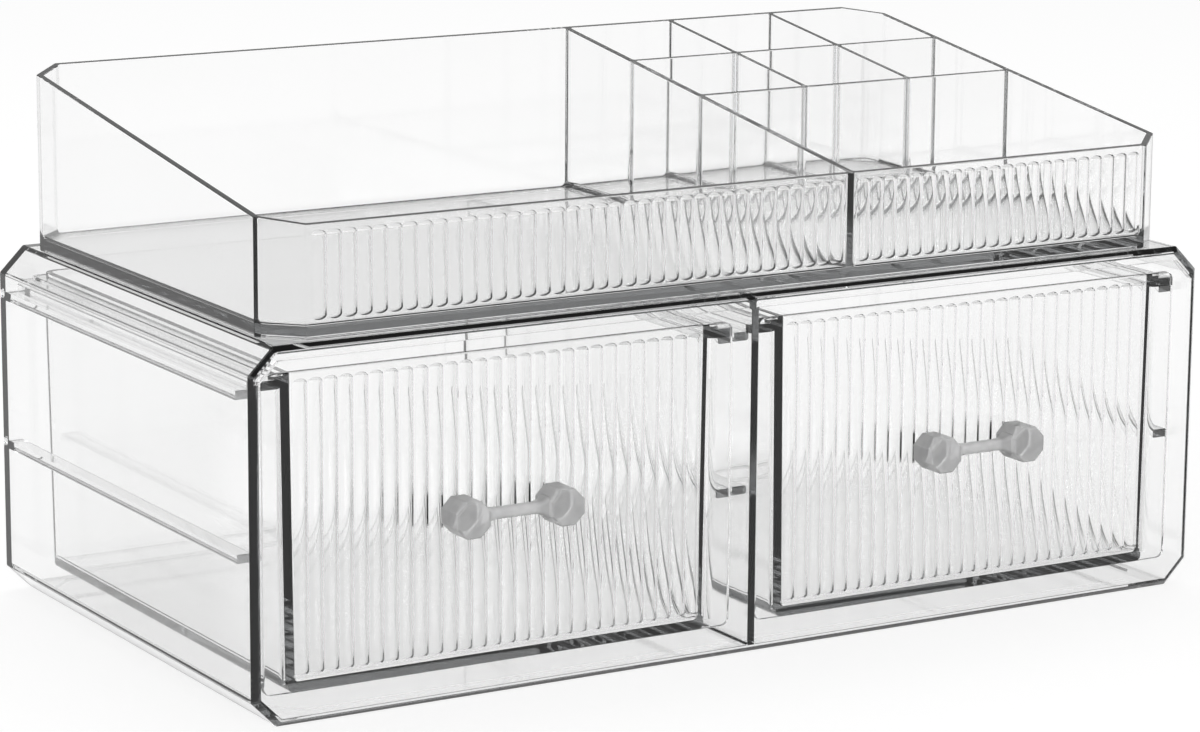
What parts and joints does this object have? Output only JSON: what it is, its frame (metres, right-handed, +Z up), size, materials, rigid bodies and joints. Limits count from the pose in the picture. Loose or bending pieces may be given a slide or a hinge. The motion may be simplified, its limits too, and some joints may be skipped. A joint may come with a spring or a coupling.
{
  "type": "makeup organizer with drawers",
  "caption": "Clear stacking cosmetics organizer: a bevelled case with deep hanging drawers side by side, bone-shaped pulls, and a sloped tray with a divided grid on top.",
  "frame": {"origin": "on the resting surface, under the middle of the whole object's width and depth, handles included", "axes": "+X to the right as seen from the open front, +Y from the drawers' fronts to the back, +Z up"},
  "size_m": [0.32, 0.1754, 0.1604],
  "materials": {
    "clear_plastic": "clear, glossy, very slightly grey",
    "frosted_plastic": "translucent, light grey"
  },
  "bodies": {
    "case": {"case": "clear_plastic"},
    "drawer_left": {"drawer_left": "clear_plastic", "handle_left": "frosted_plastic"},
    "drawer_right": {"drawer_right": "clear_plastic", "handle_right": "frosted_plastic"},
    "tray": {"tray": "clear_plastic"}
  },
  "joints": [
    {"name": "drawer_left_slide", "type": "slide", "parent": "case", "child": "drawer_left", "axis": [0, -1, 0], "range_m": [0, 0.13]},
    {"name": "drawer_right_slide", "type": "slide", "parent": "case", "child": "drawer_right", "axis": [0, -1, 0], "range_m": [0, 0.13]},
    {"name": "tray_lift", "type": "slide", "parent": "case", "child": "tray", "axis": [0, 0, 1], "range_m": [0, 0.06]}
  ]
}
